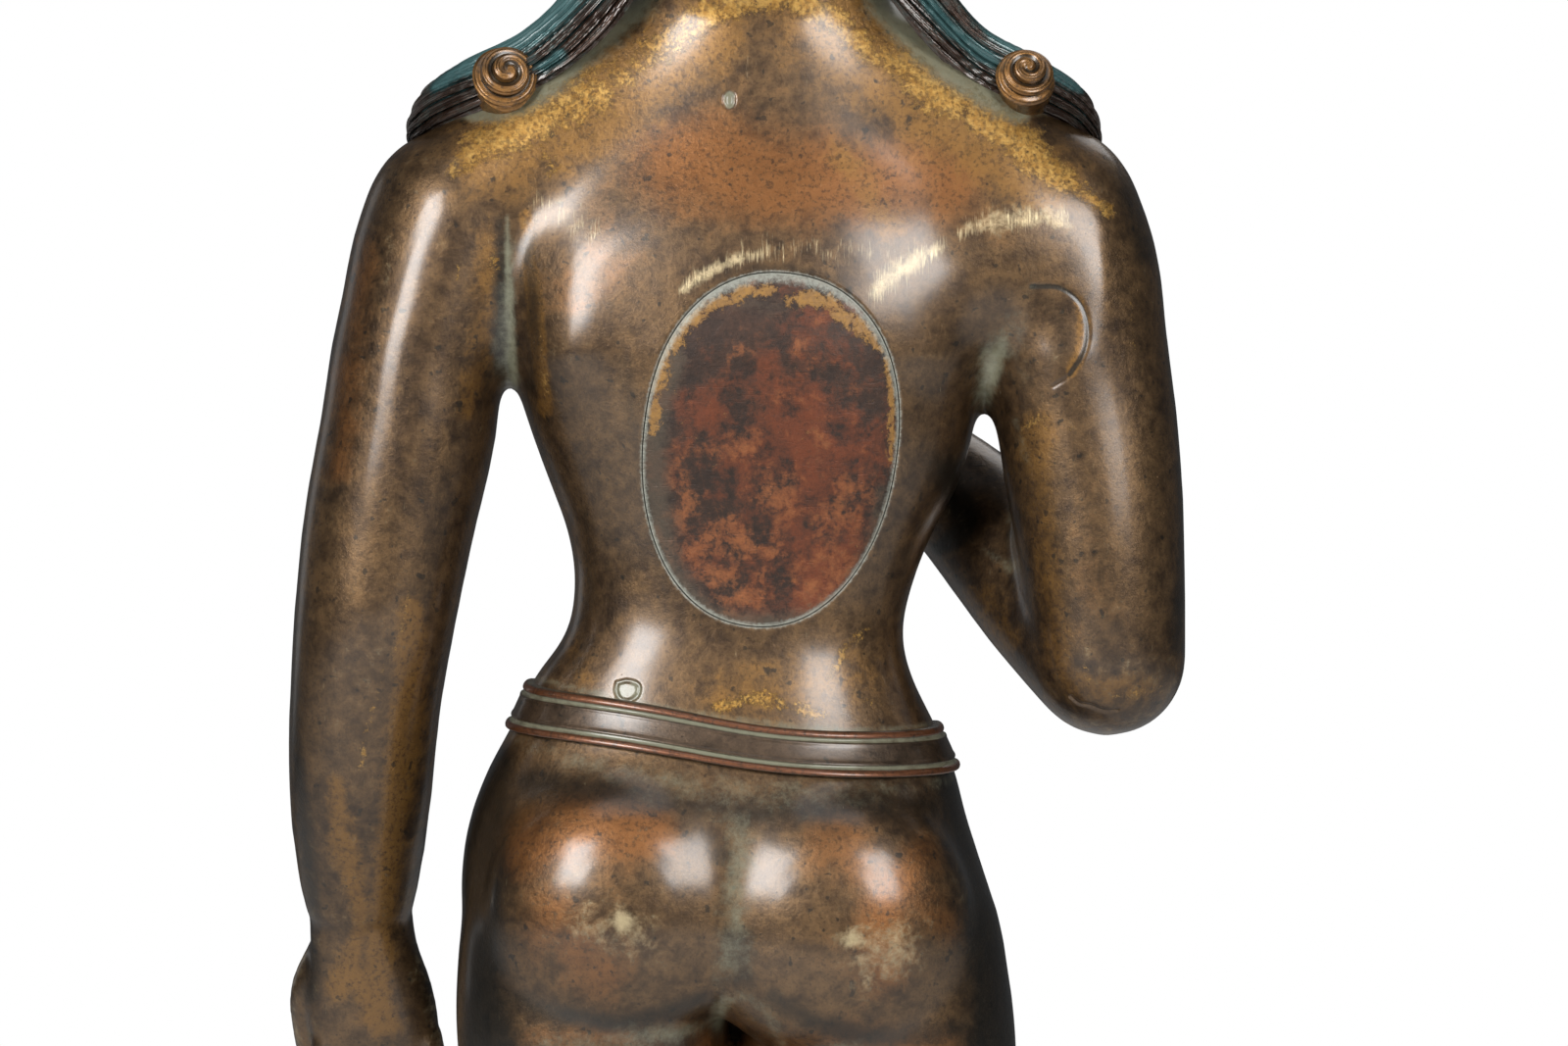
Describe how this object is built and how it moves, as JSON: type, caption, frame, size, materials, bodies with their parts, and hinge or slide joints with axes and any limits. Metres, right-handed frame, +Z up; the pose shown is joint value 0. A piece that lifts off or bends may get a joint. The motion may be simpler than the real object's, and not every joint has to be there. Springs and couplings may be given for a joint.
{
  "type": "guanyin statue",
  "caption": "Standing guanyin figure in cast bronze with a bare back, a low belt, long tresses and a let-in oval back plate, on a low oval lotus base.",
  "frame": {"origin": "middle of the base's flat underside", "axes": "+Z up, the figure faces -Y, its left side is +X; the reference picture looks along -Y at its back"},
  "size_m": [0.247, 0.172, 0.824],
  "materials": {
    "bronze": "worn brown bronze with remains of gilding",
    "plate_bronze": "mottled red-brown bronze",
    "base_bronze": "worn brown bronze"
  },
  "bodies": {
    "root": {"figure": "bronze", "back_plate": "plate_bronze", "lotus_base": "base_bronze"}
  },
  "joints": []
}
